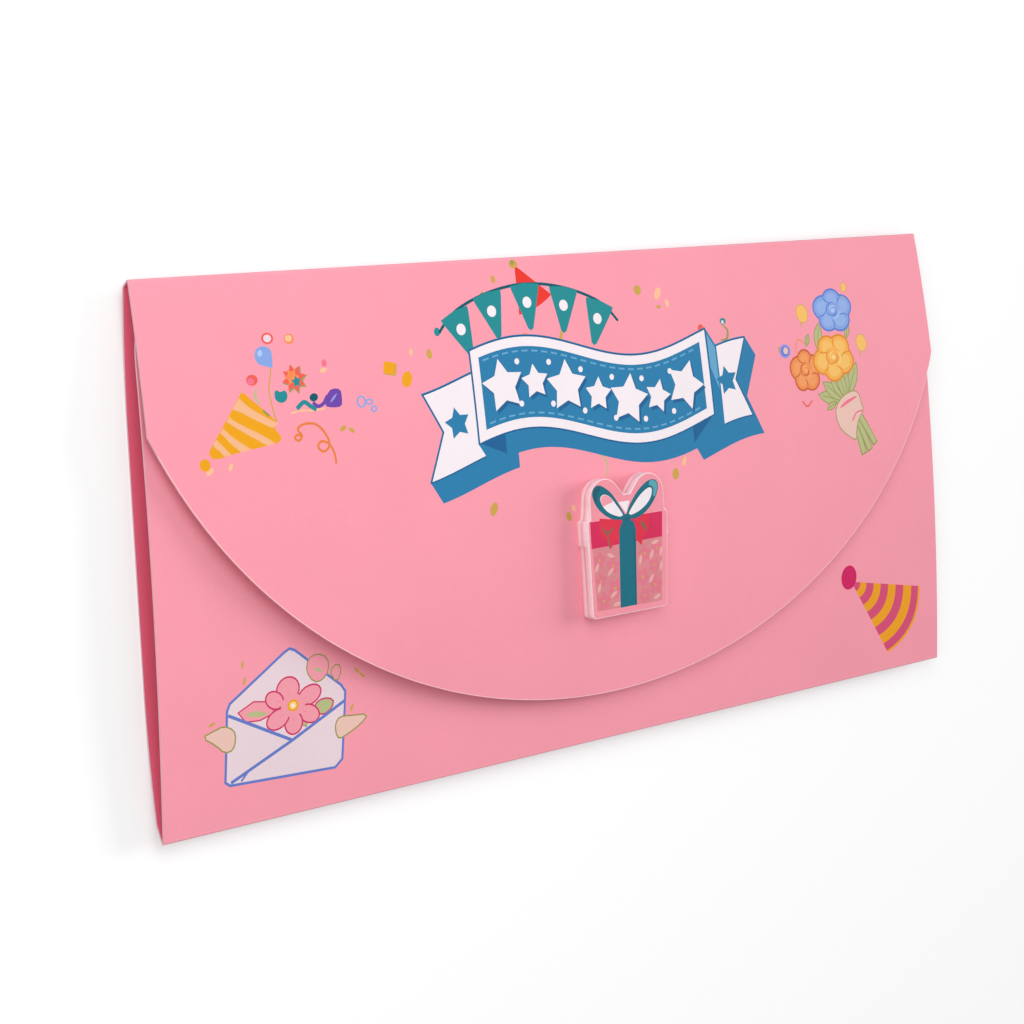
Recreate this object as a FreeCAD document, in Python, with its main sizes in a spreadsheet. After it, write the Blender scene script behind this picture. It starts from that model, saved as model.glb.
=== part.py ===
import FreeCAD, Part
import Sketcher
import math
import os

# Closed gift card lying on its back: X runs across it, Y from its bottom fold to its top fold,
# Z up out of its front. Lengths are in millimetres, the floor is Z = 0 and the card is centred on it.

sizes = [
    # cover, one folded sheet
    ("card_width", 210.0),
    ("card_height", 100.0),
    ("sheet_thickness", 0.4),
    ("fold_rise", 3.4),             # inner corner of both front folds above the floor
    ("top_spine_drop", 1.4),        # the back's top fold below the card's top edge
    ("top_spine_rise", 1.95),       # inner corner of that fold above the floor
    ("bottom_spine_lift", 3.2),     # the back's bottom fold above the card's bottom edge
    ("bottom_spine_rise", 1.95),    # inner corner of that fold above the floor
    ("back_flat_length", 44.0),     # part of the back that rests on the floor
    ("front_bow", 1.9),             # bulge of the front panel
    ("front_free_edge", 8.4),       # the front panel's free edge, under the flap, below the top edge
    ("flap_bow", 3.2),              # bulge of the flap
    ("flap_lean", 2.6),             # how far the flap leans out of the front
    # outline of the flap
    ("flap_side", 27.8),            # straight edge at each end
    ("flap_tip_lift", 10.2),        # lowest point of the rounded edge above the card's bottom edge
    ("flap_round_margin", 7.2),     # its ellipse is this much wider than the card at each end
    # gift shaped badge on the flap
    ("badge_shift", 2.9),           # to the right of the card's middle
    ("badge_lift", 26.3),           # above the card's bottom edge
    ("box_width", 22.0),
    ("box_height", 20.0),
    ("box_corner", 0.9),
    ("box_slant", 1.5),             # the box's right side leans in by this much at its foot
    ("bow_step", 0.8),              # the bow is this much narrower at each side
    ("bow_height", 7.9),
    ("loop_radius", 4.2),
    ("valley_depth", 3.5),          # dip between the bow's two loops
    ("valley_floor", 1.0),
    ("lid_overhang", 0.5),
    ("lid_height", 5.4),
    ("badge_back_depth", 2.3),      # foam layer, above the crown of the flap
    ("badge_face_thickness", 0.6),
    # closure dots between the flap and the front panel
    ("dot_diameter", 15.0),
    ("dot_lift", 9.4),              # their middle above the badge's bottom edge
    ("hook_dot_thickness", 1.25),   # the upper dot, the lower one fills the rest
    # pop-up sheet folded flat inside
    ("insert_inset", 10.0),         # from each end of the card
    ("insert_thickness", 0.35),
    ("insert_fold_margin", 2.0),    # from one fold to the next, and to the end of the flat back
    ("insert_leaf_space", 0.9),
]

doc = FreeCAD.newDocument("gift_card")
dims = doc.addObject("Spreadsheet::Sheet", "Dims")
for row, (name, value) in enumerate(sizes, start=1):
    dims.set("A%d" % row, name)
    dims.set("B%d" % row, str(value))
    dims.setAlias("B%d" % row, name)
doc.recompute()

# curves that several pieces share, worked out from the sizes
curves = doc.addObject("App::VarSet", "Curves")


def curve(name, formula):
    curves.addProperty("App::PropertyFloat", name)
    curves.setExpression(name, formula)


curve("half_height", "Dims.card_height / 2")
curve("fold_reach", "half_height - Dims.sheet_thickness")

# front panel: a cylinder through both front folds
curve("front_radius", "(fold_reach^2 + Dims.front_bow^2) / (2 * Dims.front_bow)")
curve("front_centre", "Dims.fold_rise + Dims.front_bow - front_radius")
curve("front_end", "half_height - Dims.front_free_edge")
curve("front_end_rise", "front_centre + sqrt(front_radius^2 - front_end^2)")

# flap: a cylinder that starts at the top fold and leans out
curve("flap_chord", "sqrt(4 * fold_reach^2 + Dims.flap_lean^2)")
curve("flap_radius", "(flap_chord^2 / 4 + Dims.flap_bow^2) / (2 * Dims.flap_bow)")
curve("flap_axis_y", "-(flap_radius - Dims.flap_bow) * Dims.flap_lean / flap_chord")
curve("flap_axis_z", "Dims.fold_rise + Dims.flap_lean / 2"
      " - (flap_radius - Dims.flap_bow) * 2 * fold_reach / flap_chord")
curve("flap_corner", "half_height - Dims.flap_side")
curve("flap_tip", "-half_height + Dims.flap_tip_lift")
curve("flap_end", "flap_tip - 1")
curve("flap_corner_rise", "flap_axis_z + sqrt(flap_radius^2 - (flap_corner - flap_axis_y)^2)")
curve("flap_end_rise", "flap_axis_z + sqrt(flap_radius^2 - (flap_end - flap_axis_y)^2)")
curve("round_half_width", "Dims.card_width / 2 + Dims.flap_round_margin")
curve("round_half_depth",
      "(flap_corner - flap_tip) / (1 - sqrt(1 - (Dims.card_width / 2 / round_half_width)^2))")
curve("round_centre", "flap_tip + round_half_depth")
curve("under_flap", "(Dims.fold_rise + Dims.front_bow + Dims.sheet_thickness"
      " + min(flap_corner_rise; flap_end_rise)) / 2")

# back panel: flat in the middle, its ends curl up to the spines
curve("back_low", "-half_height + Dims.bottom_spine_lift")
curve("back_high", "half_height - Dims.top_spine_drop")
curve("flat_end", "Dims.back_flat_length / 2")
curve("low_curl", "Dims.bottom_spine_rise - Dims.sheet_thickness")
curve("low_curl_radius", "((flat_end + back_low)^2 + low_curl^2) / (2 * low_curl)")
curve("high_curl", "Dims.top_spine_rise - Dims.sheet_thickness")
curve("high_curl_radius", "((back_high - flat_end)^2 + high_curl^2) / (2 * high_curl)")

# badge: outline points about its own middle line
curve("box_side", "Dims.box_width / 2")
curve("box_foot", "box_side - Dims.box_slant")
curve("bow_side", "box_side - Dims.bow_step")
curve("box_low", "-half_height + Dims.badge_lift")
curve("box_top", "box_low + Dims.box_height")
curve("loop_y", "box_top + Dims.bow_height - Dims.loop_radius")
curve("valley_y", "box_top + Dims.bow_height - Dims.valley_depth")
curve("loop_end_x", "bow_side - Dims.loop_radius - Dims.loop_radius / sqrt(2)")
curve("loop_end_y", "loop_y + Dims.loop_radius / sqrt(2)")
curve("lid_side", "box_side + Dims.lid_overhang")
curve("lid_shoulder", "lid_side - bow_side")
curve("lid_low", "box_top - Dims.lid_height")
curve("lid_foot", "box_side - Dims.box_slant * Dims.lid_height / Dims.box_height")
curve("crown", "flap_axis_z + flap_radius + Dims.sheet_thickness")
curve("badge_seat", "crown + Dims.badge_back_depth")

# closure dots
curve("dot_y", "box_low + Dims.dot_lift")
curve("dot_top", "flap_axis_z + sqrt(flap_radius^2 - (dot_y - flap_axis_y)^2)")
curve("dot_joint", "dot_top - Dims.hook_dot_thickness")

# pop-up sheet: the faces and folds of its leaves, from the back panel up to the front panel
curve("leaf_low", "-flat_end + Dims.insert_fold_margin")
curve("leaf_high", "flat_end")
curve("leaf_outer_low", "leaf_low - Dims.insert_fold_margin")
curve("leaf_inner_high", "leaf_high - Dims.insert_fold_margin")
curve("leaf_two", "Dims.sheet_thickness + 2 * Dims.insert_thickness + Dims.insert_leaf_space")
curve("leaf_three", "leaf_two + Dims.insert_leaf_space")
curve("leaf_four_low", "front_centre + sqrt(front_radius^2 - leaf_outer_low^2)")
curve("leaf_four_high", "front_centre + sqrt(front_radius^2 - leaf_inner_high^2)")
doc.recompute()

sideways = FreeCAD.Rotation(FreeCAD.Vector(1, 1, 1), 120)     # drawing x, y, z become Y, Z, X


def bind(piece, **formulas):
    for name, formula in formulas.items():
        piece.setExpression(name.replace("__", "."), formula)


def drawLine(sketch, corners, arcs, closed):
    """Lines through the corners. arcs gives some of them a radius and a side: 1 is left of the way along."""
    spots = [FreeCAD.Vector(sketch.evalExpression(a), sketch.evalExpression(b), 0) for a, b in corners]
    pieces = len(corners) if closed else len(corners) - 1
    ends = []
    for i in range(pieces):
        start, stop = spots[i], spots[(i + 1) % len(spots)]
        if i not in arcs:
            sketch.addGeometry(Part.LineSegment(start, stop), False)
            ends.append((1, 2))
            continue
        radius, side = sketch.evalExpression(arcs[i][0]), arcs[i][1]
        along = stop - start
        across = FreeCAD.Vector(-along.y, along.x, 0).normalize() * side
        bulge = radius - math.sqrt(max(radius ** 2 - along.Length ** 2 / 4, 0))
        sketch.addGeometry(Part.Arc(start, (start + stop) * 0.5 + across * bulge, stop), False)
        ends.append((2, 1) if side > 0 else (1, 2))
    for i in range(pieces):
        if closed or i + 1 < pieces:
            following = (i + 1) % pieces
            sketch.addConstraint(Sketcher.Constraint(
                "Coincident", i, ends[i][1], following, ends[following][0]))
    for i, corner in enumerate(corners):
        piece, end = (i, 0) if i < pieces else (pieces - 1, 1)
        for kind, formula in zip(("DistanceX", "DistanceY"), corner):
            spot = sketch.addConstraint(Sketcher.Constraint(
                kind, -1, 1, piece, ends[piece][end], sketch.evalExpression(formula)))
            sketch.setExpression("Constraints[%d]" % spot, formula)
    for i, (formula, side) in arcs.items():
        spot = sketch.addConstraint(Sketcher.Constraint("Radius", i, sketch.evalExpression(formula)))
        sketch.setExpression("Constraints[%d]" % spot, formula)


def foldedSheet(name, corners, arcs, thickness, width):
    """A sheet bent along the corners and as wide as the card says, thick to the right of the way along."""
    line = doc.addObject("Sketcher::SketchObject", name + "_line")
    line.Placement = FreeCAD.Placement(FreeCAD.Vector(), sideways)
    drawLine(line, corners, arcs, False)
    doc.recompute()
    section = doc.addObject("Part::Offset2D", name + "_section")
    section.Source = line
    section.Mode = "Skin"
    section.Join = "Arc"
    section.Fill = True
    bind(section, Value=thickness)
    sheet = doc.addObject("Part::Extrusion", name + "_sheet")
    sheet.Base = section
    sheet.DirMode = "Custom"
    sheet.Dir = (1, 0, 0)
    sheet.Symmetric = True
    sheet.Solid = True
    bind(sheet, LengthFwd=width)
    return sheet


def curveRoller(name, radius, axisY, axisZ):
    """A long cylinder across the card whose top is the curve of a panel."""
    roller = doc.addObject("Part::Cylinder", name)
    roller.Placement.Rotation = FreeCAD.Rotation(FreeCAD.Vector(0, 1, 0), 90)
    bind(roller, Radius=radius, Height="Dims.card_width",
         Placement__Base__x="-Dims.card_width / 2", Placement__Base__y=axisY, Placement__Base__z=axisZ)
    return roller


def cardCover():
    corners = [
        ("Curves.flap_end", "Curves.flap_end_rise"),
        ("Curves.fold_reach", "Dims.fold_rise"),
        ("Curves.back_high", "Dims.top_spine_rise"),
        ("Curves.flat_end", "Dims.sheet_thickness"),
        ("-Curves.flat_end", "Dims.sheet_thickness"),
        ("Curves.back_low", "Dims.bottom_spine_rise"),
        ("-Curves.fold_reach", "Dims.fold_rise"),
        ("Curves.front_end", "Curves.front_end_rise"),
    ]
    arcs = {
        0: ("Curves.flap_radius", 1),
        2: ("Curves.high_curl_radius", -1),
        4: ("Curves.low_curl_radius", -1),
        6: ("Curves.front_radius", 1),
    }
    sheet = foldedSheet("cover", corners, arcs, "-Dims.sheet_thickness", "Dims.card_width")
    # what the rounded edge leaves over of the flap
    oval = doc.addObject("Part::Ellipse", "flap_round")
    wide = curves.round_half_width >= curves.round_half_depth
    bind(oval, MajorRadius="Curves.round_half_" + ("width" if wide else "depth"),
         MinorRadius="Curves.round_half_" + ("depth" if wide else "width"),
         Placement__Base__y="Curves.round_centre", Placement__Base__z="Curves.under_flap")
    if not wide:
        oval.Placement.Rotation = FreeCAD.Rotation(FreeCAD.Vector(0, 0, 1), 90)
    inside = doc.addObject("Part::Extrusion", "flap_inside")
    inside.Base = oval
    inside.DirMode = "Custom"
    inside.Dir = (0, 0, 1)
    inside.Solid = True
    bind(inside, LengthFwd="Curves.crown")
    block = doc.addObject("Part::Box", "flap_block")
    bind(block, Length="Dims.card_width + 2", Width="Curves.half_height + Curves.flap_corner + 1",
         Height="Curves.crown", Placement__Base__x="-Dims.card_width / 2 - 1",
         Placement__Base__y="-Curves.half_height - 1", Placement__Base__z="Curves.under_flap")
    waste = doc.addObject("Part::Cut", "flap_waste")
    waste.Base = block
    waste.Tool = inside
    cover = doc.addObject("Part::Cut", "card_cover")
    cover.Base = sheet
    cover.Tool = waste
    return cover


def badgeCorners(lid):
    """The badge's outline, anticlockwise from its bottom left. The back layer's lid stands out at the sides."""
    side, shoulder = ("lid", "Curves.lid_shoulder") if lid else ("box", "Dims.bow_step")

    def half(foot, ledge):
        points = [
            (foot + " - Dims.box_corner", "Curves.box_low"),
            (foot, "Curves.box_low + Dims.box_corner"),
        ]
        if lid:
            points += [
                (ledge, "Curves.lid_low"),
                ("Curves.lid_side", "Curves.lid_low + Dims.lid_overhang"),
            ]
        return points + [
            ("Curves.%s_side" % side, "Curves.box_top - " + shoulder),
            ("Curves.bow_side", "Curves.box_top"),
            ("Curves.bow_side", "Curves.loop_y"),
            ("Curves.loop_end_x", "Curves.loop_end_y"),
            ("Dims.valley_floor / 2", "Curves.valley_y"),
        ]

    right = half("Curves.box_foot", "Curves.lid_foot")
    left = [("-(%s)" % x, y) for x, y in reversed(half("Curves.box_side", "Curves.box_side"))]
    count = len(right)
    arcs = {0: ("Dims.box_corner", -1), count - 5: (shoulder, -1), count - 3: ("Dims.loop_radius", -1),
            count + 1: ("Dims.loop_radius", -1), count + 3: (shoulder, -1),
            2 * count - 2: ("Dims.box_corner", -1)}
    return right + left, arcs


def badgeFace():
    body = doc.addObject("PartDesign::Body", "gift_badge_face")
    outline = body.newObject("Sketcher::SketchObject", "face_outline")
    ground = [o for o in body.Origin.OriginFeatures if o.Role == "XY_Plane"][0]
    outline.AttachmentSupport = [(ground, "")]
    outline.MapMode = "FlatFace"
    corners, arcs = badgeCorners(False)
    drawLine(outline, corners, arcs, True)
    doc.recompute()
    plate = body.newObject("PartDesign::Pad", "face_plate")
    plate.Profile = outline
    bind(plate, Length="Dims.badge_face_thickness")
    bind(body, Placement__Base__x="Dims.badge_shift", Placement__Base__z="Curves.badge_seat")
    return body


def badgeBack():
    outline = doc.addObject("Sketcher::SketchObject", "back_outline")
    corners, arcs = badgeCorners(True)
    drawLine(outline, corners, arcs, True)
    bind(outline, Placement__Base__x="Dims.badge_shift", Placement__Base__z="Curves.under_flap")
    doc.recompute()
    foam = doc.addObject("Part::Extrusion", "back_foam")
    foam.Base = outline
    foam.DirMode = "Custom"
    foam.Dir = (0, 0, 1)
    foam.Solid = True
    bind(foam, LengthFwd="Curves.badge_seat - Curves.under_flap")
    back = doc.addObject("Part::Cut", "gift_badge_back")
    back.Base = foam
    back.Tool = curveRoller("flap_outer_curve", "Curves.flap_radius + Dims.sheet_thickness",
                            "Curves.flap_axis_y", "Curves.flap_axis_z")
    return back


def dotBlank(name, low, height):
    blank = doc.addObject("Part::Cylinder", name)
    bind(blank, Radius="Dims.dot_diameter / 2", Height=height, Placement__Base__x="Dims.badge_shift",
         Placement__Base__y="Curves.dot_y", Placement__Base__z=low)
    return blank


def closureDots():
    hook = doc.addObject("Part::Common", "closure_hook_dot")
    hook.Base = dotBlank("hook_blank", "Curves.dot_joint", "2 * Dims.hook_dot_thickness")
    hook.Tool = curveRoller("flap_inner_curve", "Curves.flap_radius", "Curves.flap_axis_y",
                            "Curves.flap_axis_z")
    loop = doc.addObject("Part::Cut", "closure_loop_dot")
    loop.Base = dotBlank("loop_blank", "Dims.fold_rise", "Curves.dot_joint - Dims.fold_rise")
    loop.Tool = curveRoller("front_outer_curve", "Curves.front_radius + Dims.sheet_thickness",
                            "0", "Curves.front_centre")
    return [hook, loop]


def popupInsert():
    corners = [
        ("Curves.leaf_inner_high", "Dims.sheet_thickness"),
        ("Curves.leaf_low", "Dims.sheet_thickness"),
        ("Curves.leaf_low", "Curves.leaf_two"),
        ("Curves.leaf_high", "Curves.leaf_two"),
        ("Curves.leaf_high", "Curves.leaf_three"),
        ("Curves.leaf_outer_low", "Curves.leaf_three"),
        ("Curves.leaf_outer_low", "Curves.leaf_four_low"),
        ("Curves.leaf_inner_high", "Curves.leaf_four_high"),
    ]
    insert = foldedSheet("insert", corners, {6: ("Curves.front_radius", 1)}, "Dims.insert_thickness",
                         "Dims.card_width - 2 * Dims.insert_inset")
    insert.Label = "popup_insert"
    return insert


pieces = [cardCover(), badgeFace(), badgeBack()] + closureDots() + [popupInsert()]
doc.recompute()

for thing in doc.Objects:
    if "Invalid" in thing.State or "Error" in thing.State:
        raise RuntimeError("not built: %s %s" % (thing.Name, thing.State))
for piece in pieces:
    if piece.Shape.isNull() or not piece.Shape.isValid() or len(piece.Shape.Solids) != 1:
        raise RuntimeError("bad shape: " + piece.Label)

os.makedirs("parts", exist_ok=True)
for piece in pieces:
    piece.Shape.exportStep("parts/%s.step" % piece.Label)
    box = piece.Shape.BoundBox
    print("%s: %.1f mm3, x %.2f to %.2f, y %.2f to %.2f, z %.2f to %.2f" % (
        piece.Label, piece.Shape.Volume, box.XMin, box.XMax, box.YMin, box.YMax, box.ZMin, box.ZMax))
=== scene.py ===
import bpy
import math
import random
from mathutils import Matrix, Vector
from mathutils.geometry import delaunay_2d_cdt


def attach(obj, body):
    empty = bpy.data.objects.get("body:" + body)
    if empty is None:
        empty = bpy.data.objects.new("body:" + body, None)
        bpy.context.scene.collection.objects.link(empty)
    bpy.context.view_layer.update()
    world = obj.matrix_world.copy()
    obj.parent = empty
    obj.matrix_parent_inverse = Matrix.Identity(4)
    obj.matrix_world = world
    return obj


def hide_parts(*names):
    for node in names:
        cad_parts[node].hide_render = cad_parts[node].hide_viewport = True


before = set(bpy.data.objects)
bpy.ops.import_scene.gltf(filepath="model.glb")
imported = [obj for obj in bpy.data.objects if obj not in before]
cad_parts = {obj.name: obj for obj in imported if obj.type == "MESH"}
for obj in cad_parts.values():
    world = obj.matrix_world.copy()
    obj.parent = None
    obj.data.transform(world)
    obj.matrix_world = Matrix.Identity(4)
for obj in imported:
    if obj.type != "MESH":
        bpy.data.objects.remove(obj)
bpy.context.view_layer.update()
mm = 0.001
print("frame loaded")

# the view of the photograph, in millimetres
cameraView = {
    "place": (-305.73, 49.55, 352.11),
    "right": (0.76908, -0.059305, 0.636395),
    "up": (0.060328, 0.997976, 0.020094),
    "back": (-0.636299, 0.022939, 0.771101),
    "lens": 79.466,
    "shift": -0.196,
}


def makeCamera():
    data = bpy.data.cameras.new("cardCamera")
    data.sensor_width = 36
    data.lens = cameraView["lens"]
    data.shift_y = cameraView["shift"]
    data.clip_start = 0.01
    camera = bpy.data.objects.new("cardCamera", data)
    axes = Matrix((cameraView["right"], cameraView["up"], cameraView["back"])).transposed()
    camera.matrix_world = Matrix.Translation(Vector(cameraView["place"]) * mm) @ axes.to_4x4()
    bpy.context.scene.collection.objects.link(camera)
    bpy.context.scene.camera = camera


makeCamera()
print("camera placed")

# printing inks and papers, as 0-255 colours
inks = {
    "cover": (250, 158, 174),
    "inside": (248, 114, 142),
    "cutEdge": (255, 210, 219),
    # painted highlight: the pale band drawn along the flap's cut edge
    "paintedEdgeHighlight": (255, 202, 210),
    "teal": (38, 140, 146),
    "white": (246, 236, 241),
    "blue": (46, 126, 172),
    "deepBlue": (34, 98, 148),
    "paleBlue": (104, 166, 204),
    "red": (234, 58, 48),
    "ochre": (238, 164, 30),
    "cream": (250, 194, 150),
    "peach": (243, 184, 140),
    "gold": (205, 165, 80),
    "orange": (248, 140, 84),
    "coral": (238, 96, 84),
    "purple": (112, 72, 168),
    "lilac": (150, 150, 226),
    "periwinkle": (104, 126, 200),
    "mist": (232, 214, 226),
    "sky": (136, 166, 226),
    "skyMid": (150, 178, 233),
    "skyLine": (92, 128, 210),
    "skyLight": (174, 202, 243),
    "sun": (248, 178, 84),
    "sunMid": (250, 194, 104),
    "sunLight": (253, 214, 138),
    "sunLine": (228, 138, 44),
    "terracotta": (240, 146, 84),
    "terracottaMid": (244, 158, 98),
    "terracottaLight": (248, 176, 112),
    "terracottaLine": (206, 98, 60),
    "streamer": (232, 128, 62),
    "leaf": (186, 190, 136),
    "olive": (154, 152, 84),
    "shell": (238, 197, 184),
    "rose": (242, 116, 142),
    "roseLine": (208, 58, 104),
    "petal": (246, 158, 172),
    "paper": (236, 214, 221),
    "crimson": (214, 36, 88),
    "cerise": (210, 34, 98),
    "scarlet": (224, 44, 70),
    "sprig": (124, 100, 82),
    "magenta": (216, 80, 120),
    "amber": (240, 162, 34),
    "badgeBorder": (246, 150, 165),
    "badgeEdge": (255, 232, 237),
    "badgeTeal": (4, 106, 126),
    "badgeTealLight": (88, 164, 178),
    "badgeTealDark": (10, 90, 106),
    "blossomGround": (219, 135, 141),
    "blossom": (226, 120, 140),
    "blossomPale": (233, 173, 167),
}


def linear(colour):
    return tuple(c / 255 / 12.92 if c <= 10.3 else ((c / 255 + 0.055) / 1.055) ** 2.4 for c in colour)


def paint(colour):
    return (*linear(colour), 1.0)


# small drawing helpers, all in millimetres on the flat sheet

def signedArea(points):
    return sum(a[0] * b[1] - b[0] * a[1] for a, b in zip(points, points[1:] + points[:1])) / 2


def turned(points, degrees, about=(0, 0)):
    c, s = math.cos(math.radians(degrees)), math.sin(math.radians(degrees))
    return [(about[0] + (x - about[0]) * c - (y - about[1]) * s,
             about[1] + (x - about[0]) * s + (y - about[1]) * c) for x, y in points]


def oval(x, y, rx, ry=None, turn=0, steps=20):
    ry = rx if ry is None else ry
    ring = [(x + rx * math.cos(2 * math.pi * i / steps), y + ry * math.sin(2 * math.pi * i / steps))
            for i in range(steps)]
    return turned(ring, turn, (x, y))


def softened(points, rounds=2):
    for _ in range(rounds):
        cut = []
        for a, b in zip(points, points[1:] + points[:1]):
            cut += [(a[0] * 0.75 + b[0] * 0.25, a[1] * 0.75 + b[1] * 0.25),
                    (a[0] * 0.25 + b[0] * 0.75, a[1] * 0.25 + b[1] * 0.75)]
        points = cut
    return points


def grown(points, by):
    if signedArea(points) < 0:
        points = points[::-1]
    out = []
    for i, p in enumerate(points):
        before = (Vector(p) - Vector(points[i - 1])).normalized()
        after = (Vector(points[(i + 1) % len(points)]) - Vector(p)).normalized()
        side = Vector((before.y, -before.x))
        middle = (side + Vector((after.y, -after.x))).normalized()
        reach = by / max(0.5, middle.dot(side))
        out.append((p[0] + middle.x * reach, p[1] + middle.y * reach))
    return out


def curveThrough(points, steps=7):
    ends = [points[0]] + list(points) + [points[-1]]
    line = []
    for i in range(1, len(ends) - 2):
        p0, p1, p2, p3 = (Vector(p) for p in ends[i - 1:i + 3])
        for k in range(steps):
            t = k / steps
            q = 0.5 * (2 * p1 + (p2 - p0) * t + (2 * p0 - 5 * p1 + 4 * p2 - p3) * t * t
                       + (3 * p1 - p0 - 3 * p2 + p3) * t ** 3)
            line.append((q.x, q.y))
    return line + [tuple(points[-1])]


def strokeParts(line, width, taper=False):
    sides = []
    for i, p in enumerate(line):
        way = (Vector(line[min(i + 1, len(line) - 1)]) - Vector(line[max(i - 1, 0)])).normalized()
        half = width / 2 * (0.3 + 0.7 * math.sin(math.pi * i / (len(line) - 1)) if taper else 1)
        sides.append((
            (p[0] - way.y * half, p[1] + way.x * half), (p[0] + way.y * half, p[1] - way.x * half)
        ))
    parts = []
    for a, b in zip(sides, sides[1:]):
        parts += [[a[0], a[1], b[1]], [a[0], b[1], b[0]]]
    return [part for part in parts if abs(signedArea(part)) > 1e-4]


def drawLine(ink, points, width, smooth=True, taper=False):
    return [(ink, part) for part in strokeParts(curveThrough(points) if smooth else points, width, taper)]


def drawStraight(ink, points, width):
    return drawLine(ink, points, width, smooth=False)


def outlined(ink, lineInk, points, width=0.35):
    return [(lineInk, grown(points, width)), (ink, points)]


def star(x, y, outer, inner=0.5, turn=0, count=5):
    ring = []
    for i in range(count * 2):
        r = outer if i % 2 == 0 else outer * inner
        ring.append((x + r * math.cos(math.pi / 2 + math.pi * i / count),
                     y + r * math.sin(math.pi / 2 + math.pi * i / count)))
    return turned(ring, turn, (x, y))


def leafShape(x, y, length, width, turn):
    half = 7
    edge = [(length * i / half, width / 2 * math.sin(math.pi * i / half) ** 0.8) for i in range(half + 1)]
    edge += [(a, -b) for a, b in edge[-2:0:-1]]
    return turned([(x + a, y + b) for a, b in edge], turn, (x, y))


def cutBox(x, y, width, height, turn):
    # a box whose corners are cut off by a quarter of its half height
    w, h = width / 2, height / 2
    c = 0.25 * min(w, h)
    ring = [(x - w + c, y - h), (x + w - c, y - h), (x + w, y - h + c), (x + w, y + h - c),
            (x + w - c, y + h), (x - w + c, y + h), (x - w, y + h - c), (x - w, y - h + c)]
    return turned(ring, turn, (x, y))


def stripedCone(tip, left, right, bands, bulge):
    tip, left, right = Vector(tip), Vector(left), Vector(right)
    out = ((left + right) / 2 - tip).normalized()

    def across(s, steps=9):
        a, b = tip.lerp(left, s), tip.lerp(right, s)
        reach = (a - b).length * bulge
        shares = [i / steps for i in range(steps + 1)]
        return [tuple(a.lerp(b, t) + out * reach * 4 * t * (1 - t)) for t in shares]

    return [(ink, across(start)[::-1] + across(end)) for ink, start, end in bands]


popper = {
    "cone": [
        (-93.1, 18.3), (-91.9, 19.8), (-89.6, 22.6), (-87.1, 25.7), (-85.5, 27.7), (-84.8, 28.5),
        (-84.4, 28.4), (-82.9, 27.0), (-81.0, 25.4), (-79.3, 23.9), (-77.7, 22.3), (-78.8, 21.5),
        (-77.3, 19.9), (-77.5, 19.1), (-78.7, 18.6), (-80.7, 18.4), (-83.9, 18.1), (-88.2, 17.6),
        (-91.5, 17.0), (-92.5, 17.4)
    ],
    "stripes": [
        [
            (-91.9, 19.8), (-91.1, 20.5), (-90.1, 19.5), (-89.2, 18.5), (-88.3, 17.6), (-89.8, 17.4),
            (-90.6, 18.3), (-91.6, 19.2)
        ],
        [
            (-90.2, 21.7), (-89.5, 22.4), (-88.2, 21.1), (-86.5, 19.8), (-85.3, 19.0), (-84.0, 18.1),
            (-86.2, 17.8), (-88.3, 19.6), (-89.4, 20.9)
        ],
        [
            (-88.6, 23.5), (-88.0, 24.4), (-87.1, 23.6), (-84.9, 22.3), (-82.4, 21.0), (-80.5, 19.9),
            (-78.7, 18.7), (-80.5, 18.4), (-82.4, 19.6), (-84.3, 20.7), (-86.2, 21.9), (-87.7, 22.9)
        ],
        [
            (-87.1, 25.6), (-85.5, 27.5), (-84.3, 26.3), (-82.8, 25.1), (-81.1, 24.1), (-79.4, 23.1),
            (-77.7, 22.3), (-79.0, 21.5), (-81.8, 22.9), (-83.8, 24.0), (-85.3, 24.9)
        ]
    ],
}


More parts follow.
